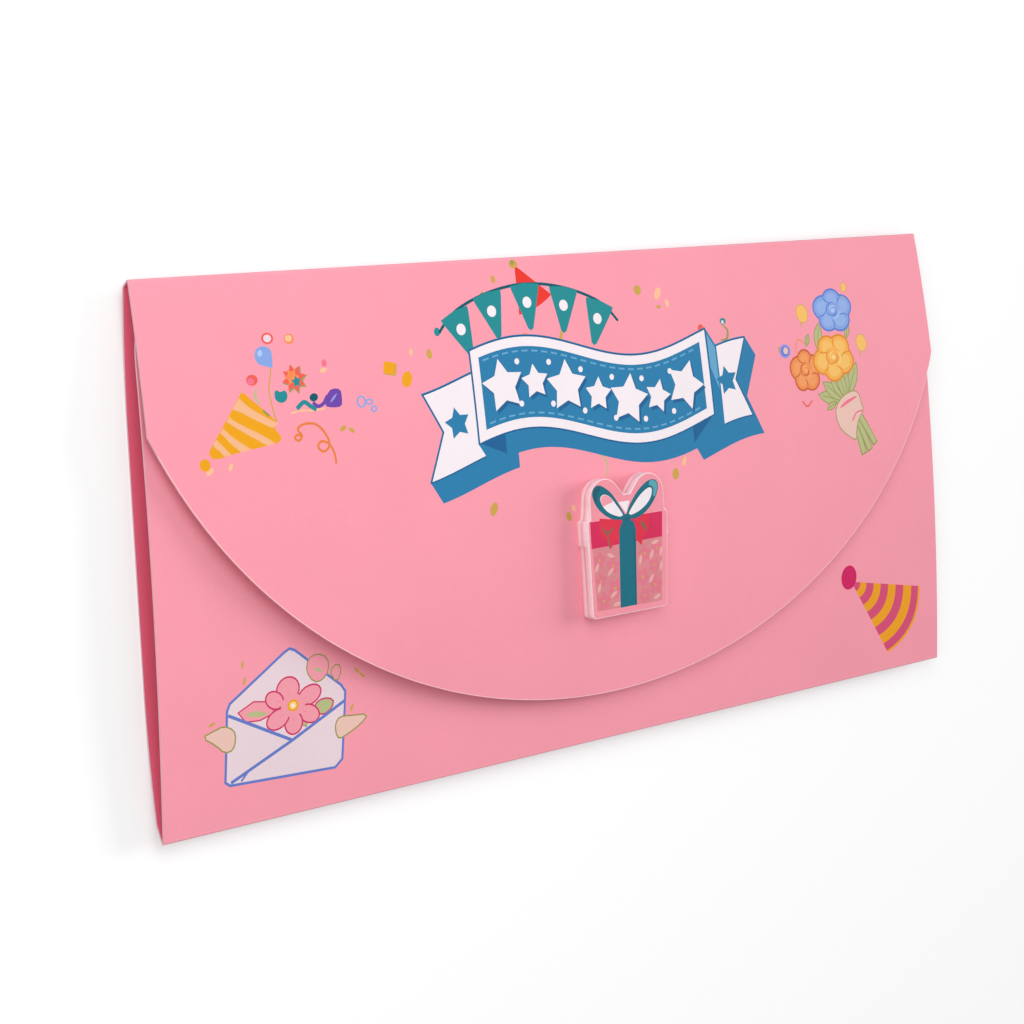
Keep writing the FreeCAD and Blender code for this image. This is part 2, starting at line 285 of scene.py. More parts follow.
def popperMotif():
    shapes = []
    # balloon on its string
    shapes += drawLine("gold", [
        (-77.9, 32.4), (-78.3, 30.8), (-78.9, 28.5), (-78.6, 25.4), (-78.0, 22.6)
    ], 0.3)
    shapes += [
        ("sky", softened([
            (-81.2, 34.4), (-80.8, 36.0), (-79.1, 36.6), (-77.4, 35.9), (-77.3, 33.8), (-77.6, 32.2),
            (-78.7, 32.7), (-80.4, 33.1)
        ], 1)),
        ("skyLight", oval(-79.9, 35.2, 0.5, 0.6, -24))
    ]
    # striped popper and what flies from it
    shapes += drawLine("leaf", [(-81.5, 28.9), (-82.0, 27.5), (-81.2, 25.9)], 0.6, taper=True)
    shapes += [("ochre", softened(popper["cone"], 1))] + [("peach", stripe) for stripe in popper["stripes"]]
    shapes += drawStraight("olive", [(-80.7, 24.9), (-79.4, 23.7)], 0.5)
    shapes += [("cream", oval(-93.1, 15.0, 0.9, 0.5, 30)), ("ochre", oval(-94.0, 16.25, 1.15, 1.1, -30)),
               ("cream", oval(-88.7, 15.4, 0.4, 0.7, -30))]
    shapes += [("coral", oval(-77.9, 37.8, 1.3, 1.05)), ("mist", oval(-77.9, 37.8, 0.85, 0.7)),
               ("orange", oval(-73.2, 37.4, 1.1, 0.95)), ("cream", oval(-73.3, 37.5, 0.75, 0.62)),
               ("coral", oval(-82.3, 30.5, 1.25, 1.0)), ("rose", oval(-82.6, 30.3, 0.8, 0.6))]
    # starburst
    shapes += [
        ("olive", star(-73.0, 29.9, 2.85, 0.62, 12, 8)), ("coral", star(-73.2, 30.1, 2.7, 0.6, 12, 8)),
        ("orange", star(-73.6, 30.4, 1.7, 0.55, 30, 6)), ("teal", star(-72.7, 29.5, 1.2, 0.5, 5, 5))
    ]
    shapes += [("teal", softened([
        (-77.8, 27.9), (-77.3, 28.4), (-76.5, 27.8), (-75.5, 28.2), (-74.9, 27.3), (-75.4, 26.1),
        (-76.6, 25.8), (-77.8, 26.5)
    ], 1))]
    # fluttering tail and blower
    shapes += drawLine("cream", [(-74.6, 23.8), (-72.3, 24.1), (-69.7, 23.9), (-67.1, 24.1)], 0.35)
    shapes += drawLine("teal", [(-73.3, 24.5), (-71.6, 25.6), (-70.3, 24.8), (-69.0, 24.0)], 0.85)
    shapes += [("badgeTealDark", oval(-69.3, 26.3, 0.95, 0.75, 10))]
    shapes += drawLine("purple", [(-69.6, 25.4), (-68.6, 24.6), (-67.3, 25.0), (-66.2, 26.4)], 0.7)
    shapes += [
        ("purple", softened([
            (-67.2, 24.5), (-66.3, 26.6), (-65.2, 27.6), (-63.1, 27.4), (-63.0, 25.6), (-63.2, 24.1),
            (-65.2, 24.0)
        ], 1)),
        ("lilac", leafShape(-65.8, 25.0, 2.4, 0.45, 42))
    ]
    # curl of streamer
    shapes += drawLine("streamer", [
        (-72.9, 19.4), (-73.8, 19.8), (-74.4, 19.2), (-73.6, 18.7), (-72.8, 19.5), (-73.6, 20.8),
        (-72.1, 21.6), (-69.7, 21.4), (-68.0, 20.0), (-67.0, 18.1), (-67.2, 16.8), (-68.5, 16.2),
        (-69.5, 17.2), (-68.6, 18.1), (-67.1, 17.5), (-66.1, 15.9), (-65.8, 13.7)
    ], 0.46)
    shapes += [("rose", oval(-66.1, 32.4, 0.6, 0.7)), ("cream", oval(-66.5, 31.1, 0.8, 0.45, 10))]
    for x, y, rx, ry in ((-58.7, 24.6, 1.1, 1.15), (-56.9, 24.4, 0.95, 0.6), (-56.0, 23.0, 0.75, 0.65)):
        shapes += [("sky", oval(x, y, rx, ry)), ("cover", oval(x, y, rx - 0.4, ry - 0.3))]
    shapes += [("gold", oval(-63.5, 20.0, 0.8, 0.45, 25)), ("gold", oval(-61.6, 19.5, 0.7, 0.4, -35))]
    shapes += [("gold", cutBox(-51.2, 30.2, 3.0, 2.5, -12)), ("ochre", cutBox(-51.4, 30.4, 2.6, 2.2, -12))]
    return shapes


# ribbon with a raised edge, swallow tails and a row of stars
ribbon = {
    "left": -31.5, "right": 32.5, "middle": 22.1, "half": 9.0, "border": 1.9,
    "sway": 3.0, "phase": 0.35,                 # its wave, up and down
    "depth": (2.5, -3.9),                       # how far the raised edge reaches
    "tails": ((12.5, -3.6), (11.5, -3.8)),      # length and drop of the left and the right one
    "tuck": 6.5, "notch": 4.0, "tailNarrower": 0.7, "foldDrops": (4.2, 3.6),
    "stars": 7, "starMargin": 7.4, "starSizes": (5.4, 3.6), "starWaist": 0.54, "tailStar": 3.2,
    "dotLift": 4.2, "dot": 0.62,
    "dashes": 23, "dashGap": 0.9, "dashShare": 0.62,
}


def ribbonShapes():
    x0, x1, half, tuck, edge = (ribbon[key] for key in ("left", "right", "half", "tuck", "border"))
    dx, dy = ribbon["depth"]

    def middleAt(x):
        t = (x - x0) / (x1 - x0)
        return ribbon["middle"] + ribbon["sway"] * math.sin(2 * math.pi * t + ribbon["phase"])

    def band(first, last, lift, half, leftNotch=0.0, rightNotch=0.0, steps=26):
        xs = [first + (last - first) * i / steps for i in range(steps + 1)]
        top = [(x, middleAt(x) + lift + half) for x in xs]
        low = [(x, middleAt(x) + lift - half) for x in xs]
        leftIn = [(first + leftNotch, middleAt(first + leftNotch) + lift)] if leftNotch else []
        rightIn = [(last - rightNotch, middleAt(last - rightNotch) + lift)] if rightNotch else []
        return top, low, leftIn, rightIn

    def closed(top, low, leftIn, rightIn):
        return low + rightIn + top[::-1] + leftIn

    def raised(top, low, leftIn, rightIn):
        shade = [(x + dx, y + dy) for x, y in low + rightIn + [top[-1]]]
        return [low[0]] + shade + top[::-1] + leftIn

    shapes = []
    (leftTail, leftDrop), (rightTail, rightDrop) = ribbon["tails"]
    tailHalf = half - ribbon["tailNarrower"]
    main = band(x0, x1, 0, half, steps=44)
    for piece in (band(x0 - leftTail, x0 + tuck, leftDrop, tailHalf, leftNotch=ribbon["notch"]),
                  band(x1 - tuck, x1 + rightTail, rightDrop, tailHalf, rightNotch=ribbon["notch"])):
        shapes += [("blue", grown(raised(*piece), 0.45)), ("deepBlue", grown(closed(*piece), 0.3)),
                   ("white", closed(*piece))]
    shapes += [("blue", grown(raised(*main), 0.45))]
    # folds behind the ribbon's ends
    leftFold, rightFold = ribbon["foldDrops"]
    shapes += [
        ("deepBlue", [
            (x0, middleAt(x0) - half), (x0 + tuck, middleAt(x0 + tuck) - half - leftFold),
            (x0 + tuck, middleAt(x0 + tuck) - half)
        ]),
        ("deepBlue", [
            (x1, middleAt(x1) - half), (x1 - tuck, middleAt(x1 - tuck) - half),
            (x1 - tuck, middleAt(x1 - tuck) - half - rightFold)
        ])
    ]
    shapes += [("paleBlue", [(x1 + 0.5, middleAt(x1) + half - 0.8), (x1 + dx, middleAt(x1) + half + dy),
                             (x1 + dx, middleAt(x1) + dy), (x1 + 0.5, middleAt(x1) + 1.0)])]
    shapes += [("deepBlue", grown(closed(*main), 0.35)), ("white", closed(*main))]
    # blue field inside the white border, with dashes along it
    shapes += [("blue", closed(*band(x0 + edge, x1 - edge, 0, half - edge, steps=40)))]
    dashSpan = x1 - x0 - 2 * edge - 2.0
    for lift in (half - edge - ribbon["dashGap"], edge + ribbon["dashGap"] - half):
        for i in range(ribbon["dashes"]):
            a = x0 + edge + 1.0 + dashSpan * i / ribbon["dashes"]
            b = a + dashSpan / ribbon["dashes"] * ribbon["dashShare"]
            shapes += drawStraight("paleBlue", [(a, middleAt(a) + lift), (b, middleAt(b) + lift)], 0.36)
    # stars with two dots between each and the next
    gaps = ribbon["stars"] - 1
    starSpan = x1 - x0 - 2 * ribbon["starMargin"]
    for i in range(ribbon["stars"]):
        x = x0 + ribbon["starMargin"] + starSpan * i / gaps
        size, waist, turn = ribbon["starSizes"][i % 2], ribbon["starWaist"], 8 - 5 * i
        shapes += [("deepBlue", star(x + 0.5, middleAt(x) - 0.7, size, waist, turn)),
                   ("white", star(x, middleAt(x), size, waist, turn))]
        if i < gaps:
            between = x + starSpan / (2 * gaps)
            for lift in (ribbon["dotLift"], -ribbon["dotLift"]):
                shapes += [("white", oval(between, middleAt(between) + lift, ribbon["dot"], steps=12))]
    for x, lift in ((x0 - 5.0, leftDrop), (x1 + 5.0, rightDrop)):
        shapes += [("blue", star(x, middleAt(x) + lift + 0.4, ribbon["tailStar"], ribbon["starWaist"], 10))]
    return shapes


pennants = {
    "places": [(-34.0, 39.4, 20), (-25.3, 42.6, 11), (-15.4, 43.9, 1), (-5.4, 42.7, -9), (3.8, 39.3, -20)],
    "width": 7.4, "drop": 8.6,
}


def pennantShapes():
    shapes = []
    # party hat peeping over the row
    shapes += stripedCone((-17.2, 48.4), (-17.8, 38.4), (-8.7, 42.0), [("red", 0.04, 1.0)], 0.06)
    shapes += [("gold", oval(-17.5, 48.6, 1.1, 0.9)), ("olive", oval(-17.7, 48.9, 0.5))]
    ends = [(-38.4, 36.2)] + [(x, y + 0.6) for x, y, turn in pennants["places"]] + [(8.3, 35.6)]
    shapes += drawLine("badgeTealDark", ends, 0.6)
    for x, y, turn in pennants["places"]:
        w, d = pennants["width"] / 2, pennants["drop"]
        flag = [
            (x - w, y + 0.4), (x - w + 0.2, y - 0.6), (x - 0.7, y - d + 0.3), (x, y - d - 0.2),
            (x + 0.7, y - d + 0.3), (x + w - 0.2, y - 0.6), (x + w, y + 0.4), (x, y + 0.8)
        ]
        shapes += [("teal", turned(flag, turn, (x, y)))]
        shapes += [("white", turned(oval(x, y - d * 0.36, 1.15, steps=14), turn, (x, y)))]
    return shapes


confetti = [
    ("ochre", -47.5, 27.9, 1.2, 1.6, -24), ("teal", -38.9, 36.4, 0.75, 0.85, 0),
    ("gold", -41.5, 32.3, 0.7, 1.0, 10), ("gold", -23.2, 45.8, 0.6, 0.8, 0),
    ("olive", -26.7, 42.4, 0.45, 1.2, -12), ("orange", -17.0, 33.5, 1.2, 1.3, 30),
    ("gold", -7.7, 33.4, 0.4, 1.5, -24), ("gold", 14.9, 41.6, 1.0, 1.1, 20),
    ("cream", 20.5, 40.6, 0.8, 1.4, -34), ("cream", 22.8, 38.4, 0.5, 0.9, 10),
    ("gold", 20.2, 37.8, 0.6, 0.4, 0), ("coral", 31.6, 32.4, 0.9, 1.0, 0),
    ("gold", 45.6, 24.6, 0.4, 1.1, 24), ("gold", -29.5, 1.0, 0.9, 1.4, -30),
    ("gold", -10.4, -2.7, 0.7, 1.0, 20), ("cream", -9.0, -1.2, 0.4, 0.8, 30),
    ("terracotta", 4.6, 9.8, 0.5, 0.9, 40), ("terracotta", 6.4, 7.8, 0.5, 0.7, 50),
    ("gold", 19.8, 2.7, 0.95, 1.2, -10), ("cream", 22.6, 5.1, 0.5, 1.1, -30),
    ("gold", 54.6, 26.2, 0.4, 0.8, 12), ("cream", -45.8, 33.0, 0.4, 0.7, 0)
]


def confettiShapes():
    shapes = [(ink, oval(x, y, rx, ry, turn, 12)) for ink, x, y, rx, ry, turn in confetti]
    # loose curls
    shapes += drawLine("leaf", [(-1.7, 9.2), (0.2, 8.2), (1.0, 6.2), (0.5, 4.0)], 0.45, taper=True)
    shapes += drawLine("olive", [(37.0, 29.6), (38.9, 29.8), (39.4, 31.6), (37.8, 33.0)], 0.6, taper=True)
    shapes += [("teal", oval(38.4, 33.6, 0.9, 0.7)), ("mist", oval(38.3, 33.4, 0.4))]
    return shapes


posy = {
    "blooms": [
        (62.2, 21.1, 4.4, 1.0, "terracotta", 20),
        (71.6, 23.4, 6.0, 0.84, "sun", 50),
        (73.3, 33.8, 5.75, 0.8, "sky", 18),
    ],
    "stems": [((76.6, 8.0), (78.6, 0.9)), ((77.4, 8.8), (80.7, 1.6)), ((78.4, 9.4), (82.6, 2.9))],
    "leaves": [
        (75.0, 14.6, 7.8, 2.8, 62), (72.4, 13.6, 7.0, 2.6, 165), (73.0, 13.8, 7.0, 2.6, 143),
        (73.6, 14.0, 6.4, 2.4, 124), (74.4, 14.2, 6.6, 2.2, 88), (74.2, 14.2, 6.4, 2.4, 106),
        (66.8, 25.6, 5.6, 2.3, 78), (63.2, 26.6, 2.5, 1.1, 66), (76.5, 27.4, 3.6, 1.2, 74),
        (70.8, 13.4, 3.2, 1.2, 206)
    ],
    "loosePetals": [(63.2, 33.7, 1.7, 2.0, 14), (81.3, 26.0, 1.6, 1.9, 16), (77.9, 38.8, 0.85, 1.0, 0)],
    # size of each of a bloom's petals, and the curls in its middle: reach, start, sweep, tone
    "petals": (1.0, 0.9, 1.06, 0.94, 1.03),
    "curls": [
        (0.42, 60, 150, "Line"), (0.4, 250, 110, "Light"), (0.27, 190, 170, "Line"), (0.25, 30, 120, "Light")
    ],
}


def bloomShapes(x, y, r, squash, ink, turn):
    def flattened(points):
        return [(px, y + (py - y) * squash) for px, py in points]

    def around(share, angle):
        return x + r * share * math.cos(math.radians(angle)), y + r * share * math.sin(math.radians(angle))

    def petals(size, out):
        ring = []
        for i, grow in enumerate(posy["petals"]):
            angle = turn + 72 * i
            rx, ry = r * 0.55 * grow * size, r * 0.52 * grow * size
            ring.append(flattened(oval(*around(out, angle), rx, ry, angle, 18)))
        return ring

    shapes = [(ink + "Line", grown(petal, 0.45)) for petal in petals(1.0, 0.5)]
    shapes += [(ink, petal) for petal in petals(1.0, 0.5)]
    shapes += [(ink + "Mid", petal) for petal in petals(0.62, 0.56)]
    for i in range(5):
        seam = [around(reach, turn + 72 * i + lag) for reach, lag in ((0.86, 34), (0.62, 36), (0.4, 18))]
        shapes += drawLine(ink + "Line", flattened(seam), 0.3, taper=True)
    # inner petals curled round the middle
    shapes += [(ink, flattened(oval(*around(0.05, turn + 30), r * 0.4, r * 0.36, turn, 18)))]
    for reach, start, sweep, tone in posy["curls"]:
        arc = [around(reach - a / 1800, turn + start + a) for a in range(0, sweep + 1, 15)]
        shapes += drawLine(ink + tone, flattened(arc), 0.36, smooth=False, taper=True)
    shapes += [(ink + "Light", flattened(oval(x, y, r * 0.12, r * 0.11, 0, 12)))]
    return shapes


def posyShapes():
    shapes = []
    # stems below the wrap
    for start, end in posy["stems"]:
        shapes += drawStraight("olive", [start, end], 1.9)
        shapes += drawStraight("leaf", [start, (end[0] - 0.06, end[1] + 0.35)], 1.3)
    for x, y, length, width, turn in posy["leaves"]:
        shapes += outlined("leaf", "olive", leafShape(x, y, length, width, turn), 0.24)
        vein = [leafShape(x, y, length * share, 0.1, turn)[7] for share in (0.12, 0.85)]
        shapes += drawStraight("olive", vein, 0.2)
    for bloom in posy["blooms"]:
        shapes += bloomShapes(*bloom)
    # paper wrap
    wrap = softened([
        (72.1, 13.7), (74.4, 14.9), (77.0, 15.4), (78.5, 14.6), (78.8, 12.9), (79.6, 10.8), (77.7, 9.3),
        (76.5, 6.6), (76.4, 4.3), (73.9, 5.6), (71.6, 7.3), (70.5, 9.6), (70.6, 11.9)
    ], 1)
    shapes += outlined("shell", "olive", wrap, 0.24)
    shapes += drawLine("rose", [(72.0, 12.0), (74.5, 13.1), (77.8, 14.1)], 0.75, taper=True)
    shapes += drawLine("rose", [(79.2, 10.8), (77.1, 10.4), (75.6, 8.7)], 0.4)
    # petals blown off
    for x, y, rx, ry, turn in posy["loosePetals"]:
        shapes += [
            ("gold", oval(x, y, rx + 0.15, ry + 0.15, turn, 14)), ("sunMid", oval(x, y, rx, ry, turn, 14))
        ]
        shapes += drawStraight("gold", [(x - 0.5, y - 1.9), (x - 0.9, y - 2.9)], 0.3)
    shapes += [
        ("lilac", oval(56.3, 25.8, 1.75, 1.55)), ("periwinkle", oval(56.3, 25.8, 1.25, 1.1)),
        ("shell", oval(56.5, 25.9, 0.75))
    ]
    shapes += drawLine("terracotta", [(59.8, 24.9), (60.0, 27.2), (61.2, 28.1), (62.5, 27.0)], 0.3)
    shapes += drawLine("coral", [(60.0, 14.5), (61.4, 13.2), (63.2, 14.4)], 0.36)
    return shapes


letterCover = {
    "outline": [
        (-91.7, -41.2), (-90.9, -28.6), (-90.3, -27.4), (-78.3, -20.0), (-77.2, -19.5), (-76.2, -19.9),
        (-66.2, -28.0), (-65.4, -29.2), (-66.5, -41.6), (-68.0, -42.8), (-90.9, -41.8)
    ],
    "pocket": [
        (-91.6, -41.2), (-90.7, -29.5), (-77.3, -36.2), (-65.5, -30.9), (-66.6, -41.6), (-68.0, -42.7),
        (-90.8, -41.7)
    ],
    "heart": (-76.9, -29.8),
    "petals": [
        (-77.9, -26.7, 2.35, 2.15, 10), (-73.2, -28.5, 2.5, 1.6, 18), (-73.4, -31.9, 2.2, 1.5, -24),
        (-76.9, -33.1, 1.8, 1.9, 0), (-80.3, -31.8, 2.4, 1.6, 20), (-80.9, -28.2, 1.9, 1.4, -30)
    ],
    "looseLeaves": [
        [
            (-96.3, -32.3), (-94.1, -31.7), (-91.9, -31.1), (-89.9, -32.2), (-89.6, -33.8), (-90.2, -35.6),
            (-91.9, -35.8), (-93.6, -34.1)
        ],
        [
            (-60.3, -34.4), (-61.7, -35.7), (-64.3, -36.9), (-66.7, -37.8), (-67.4, -36.8), (-67.5, -34.9),
            (-66.5, -33.8), (-63.7, -34.1)
        ]
    ],
    "flecks": [
        (-87.6, -21.4, 80), (-87.5, -24.4, 70), (-62.9, -25.0, -48), (-61.8, -26.2, -40),
        (-95.2, -30.6, 20), (-64.2, -33.2, 60)
    ],
}


def letterShapes():
    outline, pocket = letterCover["outline"], letterCover["pocket"]
    shapes = outlined("paper", "periwinkle", outline, 0.5)
    # what is inside: leaves and a flower
    leftLeaf = [
        (-88.6, -29.2), (-85.4, -27.8), (-81.9, -28.4), (-81.2, -30.4), (-84.2, -31.2), (-87.2, -31.0)
    ]
    rightLeaf = [
        (-72.1, -30.6), (-70.3, -29.7), (-68.0, -30.2), (-68.3, -31.6), (-70.2, -32.6), (-71.8, -31.8)
    ]
    shapes += outlined("petal", "roseLine", leftLeaf, 0.26)
    shapes += [("leaf", leafShape(-87.4, -29.7, 5.0, 1.1, -8))]
    shapes += outlined("leaf", "roseLine", softened(rightLeaf, 1), 0.3)
    shapes += outlined("leaf", "olive", leafShape(-75.6, -31.2, 3.2, 1.3, -64), 0.2)
    for petal in letterCover["petals"]:
        shapes += outlined("petal", "roseLine", oval(*petal, 18), 0.32)
    hx, hy = letterCover["heart"]
    for x, y, rx, ry, turn in letterCover["petals"]:
        vein = [(hx + (x - hx) * share, hy + (y - hy) * share) for share in (0.35, 0.85)]
        shapes += drawLine("rose", vein, 0.3, smooth=False, taper=True)
    for ink, rx, ry, steps in (("petal", 2.7, 2.1, 16), ("ochre", 1.25, 1.1, 14), ("sunLight", 0.8, 0.7, 12),
                               ("white", 0.35, 0.35, 10)):
        shapes += [(ink, oval(hx, hy, rx, ry, steps=steps))]
    # pocket in front
    shapes += [("paper", pocket)]
    shapes += drawStraight("periwinkle", [(-90.9, -29.3), (-77.3, -36.2)], 0.6)
    shapes += drawStraight("periwinkle", [(-65.4, -30.9), (-77.3, -36.2), (-90.8, -41.6)], 0.6)
    shapes += drawStraight("periwinkle", [(-86.9, -40.0), (-88.6, -41.7)], 0.4)
    # loose leaves
    for ring in letterCover["looseLeaves"]:
        shapes += outlined("shell", "olive", softened(ring, 1), 0.28)
    shapes += outlined("petal", "olive", softened([
        (-73.6, -24.0), (-73.1, -21.8), (-71.1, -21.2), (-68.9, -22.3), (-68.8, -24.6), (-70.2, -26.1),
        (-72.1, -26.2)
    ], 1), 0.26)
    shapes += outlined("petal", "olive", softened([
        (-68.4, -24.7), (-66.6, -23.7), (-65.9, -25.2), (-67.1, -27.1)
    ], 1), 0.24)
    shapes += [("leaf", leafShape(-72.2, -23.6, 2.4, 0.6, -28))]
    for x, y, turn in letterCover["flecks"]:
        shapes += [("gold", leafShape(x, y, 1.7, 0.55, turn))]
    return shapes


partyHat = {
    "tip": (75.3, -27.85), "left": (87.5, -46.0), "right": (98.9, -32.1),
    "inks": ("magenta", "amber"), "firstBand": 0.04, "bulge": 0.185,
    "widths": [1.0, 0.95, 1.15, 1.1, 1.2, 1.2, 1.25, 1.3, 1.1, 0.3],
}


def hatShapes():
    at, bands = partyHat["firstBand"], []
    for i, width in enumerate(partyHat["widths"]):
        step = (1.0 - partyHat["firstBand"]) * width / sum(partyHat["widths"])
        bands.append((partyHat["inks"][i % 2], at, at + step))
        at += step
    shapes = stripedCone(partyHat["tip"], partyHat["left"], partyHat["right"], bands, partyHat["bulge"])
    return shapes + [("cerise", oval(74.6, -26.8, 2.55, 2.75, -10, 24))]


flapPrint = popperMotif() + confettiShapes() + pennantShapes() + ribbonShapes() + posyShapes()
frontPrint = letterShapes() + hatShapes()
print("print drawn,", len(flapPrint) + len(frontPrint), "shapes")


def newMaterial(name):
    material = bpy.data.materials.new(name)
    material.use_nodes = True
    tree = material.node_tree
    place = tree.nodes.new("ShaderNodeTexCoord").outputs["Object"]
    return material, tree, tree.nodes["Principled BSDF"], place


def fillNode(tree, node, values):
    # a number or colour is set on the socket, anything else is linked to it
    for socket, value in values.items():
        if isinstance(value, (int, float, tuple)):
            node.inputs[socket].default_value = value
        elif value is not None:
            tree.links.new(value, node.inputs[socket])
    return node


def noiseNode(tree, place, scale, detail=3.0, roughness=0.55):
    node = tree.nodes.new("ShaderNodeTexNoise")
    return fillNode(tree, node, {"Scale": scale, "Detail": detail, "Roughness": roughness,
                                 "Vector": place}).outputs["Fac"]


def cellNode(tree, place, scale):
    node = tree.nodes.new("ShaderNodeTexVoronoi")
    return fillNode(tree, node, {"Scale": scale, "Vector": place}).outputs["Distance"]


def rangeNode(tree, value, fromMin, fromMax, toMin, toMax):
    node = tree.nodes.new("ShaderNodeMapRange")
    return fillNode(tree, node, {"From Min": fromMin, "From Max": fromMax, "To Min": toMin, "To Max": toMax,
                                 "Value": value}).outputs["Result"]


def mixNode(tree, factor, a, b, blend="MIX"):
    node = tree.nodes.new("ShaderNodeMix")
    node.data_type = "RGBA"
    node.blend_type = blend
    return fillNode(tree, node, {"Factor": factor, "A": a, "B": b}).outputs["Result"]


def mathNode(tree, operation, a, b=0.0, clamp=False):
    node = tree.nodes.new("ShaderNodeMath")
    node.operation = operation
    node.use_clamp = clamp
    return fillNode(tree, node, {0: a, 1: b}).outputs[0]


def bumpNode(tree, height, strength, distance, under=None):
    node = tree.nodes.new("ShaderNodeBump")
    return fillNode(tree, node, {"Strength": strength, "Distance": distance, "Height": height,
                                 "Normal": under}).outputs["Normal"]


def inkedPaper(tree, cloud, fleck, finish):
    # the ink kept on the mesh, a little darker in the paper's clouds and flecks
    ink = tree.nodes.new("ShaderNodeVertexColor")
    ink.layer_name = "ink"
    colour = ink.outputs["Color"]
    for noise, darker in ((cloud, finish["mottle"]), (fleck, finish["fleck"])):
        colour = mixNode(tree, 1.0, colour, rangeNode(tree, noise, 0.3, 0.7, 1 - darker, 1.0), "MULTIPLY")
    return colour


# scales are per metre; depths, and the places where the folds are rubbed, are in metres
cardFinish = {
    "cloudScale": 60.0, "toothScale": 2400.0, "rubScale": 380.0, "mottle": 0.035, "fleck": 0.03,
    "roughness": 0.55, "specular": 0.05, "tooth": 0.16, "toothDepth": 0.00006, "wave": 0.3, "waveDepth": 0.0006,
    "foldWear": 0.2, "wornFrom": 0.0492, "wornTo": 0.0499,
}


def printedCard():
    # coated card, pale where its folds are rubbed
    material, tree, shader, place = newMaterial("printedCard")
    cloud = noiseNode(tree, place, cardFinish["cloudScale"], 4.0)
    tooth = noiseNode(tree, place, cardFinish["toothScale"], 2.0, 0.6)
    shaded = inkedPaper(tree, cloud, tooth, cardFinish)
    split = fillNode(tree, tree.nodes.new("ShaderNodeSeparateXYZ"), {"Vector": place})
    reach = mathNode(tree, "ABSOLUTE", split.outputs["Y"])
    near = rangeNode(tree, reach, cardFinish["wornFrom"], cardFinish["wornTo"], 0.0, cardFinish["foldWear"])
    worn = mathNode(tree, "MULTIPLY", near, noiseNode(tree, place, cardFinish["rubScale"], 3.0))
    rough = cardFinish["roughness"]
    fine = bumpNode(tree, tooth, cardFinish["tooth"], cardFinish["toothDepth"])
    fillNode(tree, shader, {
        "Base Color": mixNode(tree, worn, shaded, paint(inks["cutEdge"])),
        "Roughness": rangeNode(tree, cloud, 0.2, 0.8, rough - 0.05, rough + 0.07),
        "Normal": bumpNode(tree, cloud, cardFinish["wave"], cardFinish["waveDepth"], fine),
        "Specular IOR Level": cardFinish["specular"],
    })
    return material


badgeFinish = {
    "cloudScale": 160.0, "fleckScale": 1800.0, "mottle": 0.07, "fleck": 0.04,
    "roughness": 0.45, "specular": 0.12, "coat": 0.03, "coatRoughness": 0.3, "wave": 0.15, "waveDepth": 0.0003,
}


def glossyPrint():
    # printed acrylic: ink under a clear face
    material, tree, shader, place = newMaterial("badgePrint")
    cloud = noiseNode(tree, place, badgeFinish["cloudScale"], 4.0)
    fleck = noiseNode(tree, place, badgeFinish["fleckScale"], 2.0)
    rough = badgeFinish["roughness"]
    fillNode(tree, shader, {
        "Base Color": inkedPaper(tree, cloud, fleck, badgeFinish),
        "Roughness": rangeNode(tree, cloud, 0.2, 0.8, rough - 0.05, rough + 0.08),
        "Normal": bumpNode(tree, cloud, badgeFinish["wave"], badgeFinish["waveDepth"]),
        "Specular IOR Level": badgeFinish["specular"],
        "Coat Weight": badgeFinish["coat"],
        "Coat Roughness": badgeFinish["coatRoughness"],
    })
    return material


foam = {
    "shade": (243, 192, 199), "light": (253, 216, 222), "pore": (232, 176, 188),
    "cloudScale": 220.0, "poreScale": 2600.0, "poreShare": 0.14, "poreDepth": 0.00008,
}


def foamFinish():
    # pale mounting layer with tiny closed cells
    material, tree, shader, place = newMaterial("badgeFoam")
    cloud = noiseNode(tree, place, foam["cloudScale"], 3.0)
    pores = rangeNode(tree, cellNode(tree, place, foam["poreScale"]), 0.0, 0.5, 0.0, 1.0)
    colour = mixNode(tree, cloud, paint(foam["shade"]), paint(foam["light"]))
    poreShare = rangeNode(tree, pores, 0.0, 1.0, foam["poreShare"], 0.0)
    fillNode(tree, shader, {
        "Base Color": mixNode(tree, poreShare, colour, paint(foam["pore"])),
        "Roughness": rangeNode(tree, pores, 0.0, 1.0, 0.74, 0.6),
        "Normal": bumpNode(tree, pores, 0.25, foam["poreDepth"]),
    })
    return material


def feltFinish(name, colour, scale):
    # hook-and-loop disc: woven ground with raised loops or hooks
    material, tree, shader, place = newMaterial(name)
    loops = cellNode(tree, place, scale)
    dark = (*(c * 0.62 for c in linear(colour)), 1.0)
    fillNode(tree, shader, {
        "Base Color": mixNode(tree, rangeNode(tree, loops, 0.1, 0.6, 0.0, 1.0), paint(colour), dark),
        "Roughness": 0.85,
        "Normal": bumpNode(tree, loops, 0.8, 0.0003),
        "Sheen Weight": 0.25,
    })
    return material


insertPaper = {"shade": (238, 190, 200), "light": (250, 214, 220), "cloudScale": 90.0, "toothScale": 2000.0}


def insertFinish():
    # uncoated white-pink card of the fold-out part
    material, tree, shader, place = newMaterial("insertCard")
    cloud = noiseNode(tree, place, insertPaper["cloudScale"], 4.0)
    tooth = noiseNode(tree, place, insertPaper["toothScale"], 2.0, 0.6)
    fillNode(tree, shader, {
        "Base Color": mixNode(tree, cloud, paint(insertPaper["shade"]), paint(insertPaper["light"])),
        "Roughness": rangeNode(tree, cloud, 0.2, 0.8, 0.6, 0.72),
        "Normal": bumpNode(tree, tooth, 0.2, 0.00006),
    })
    return material


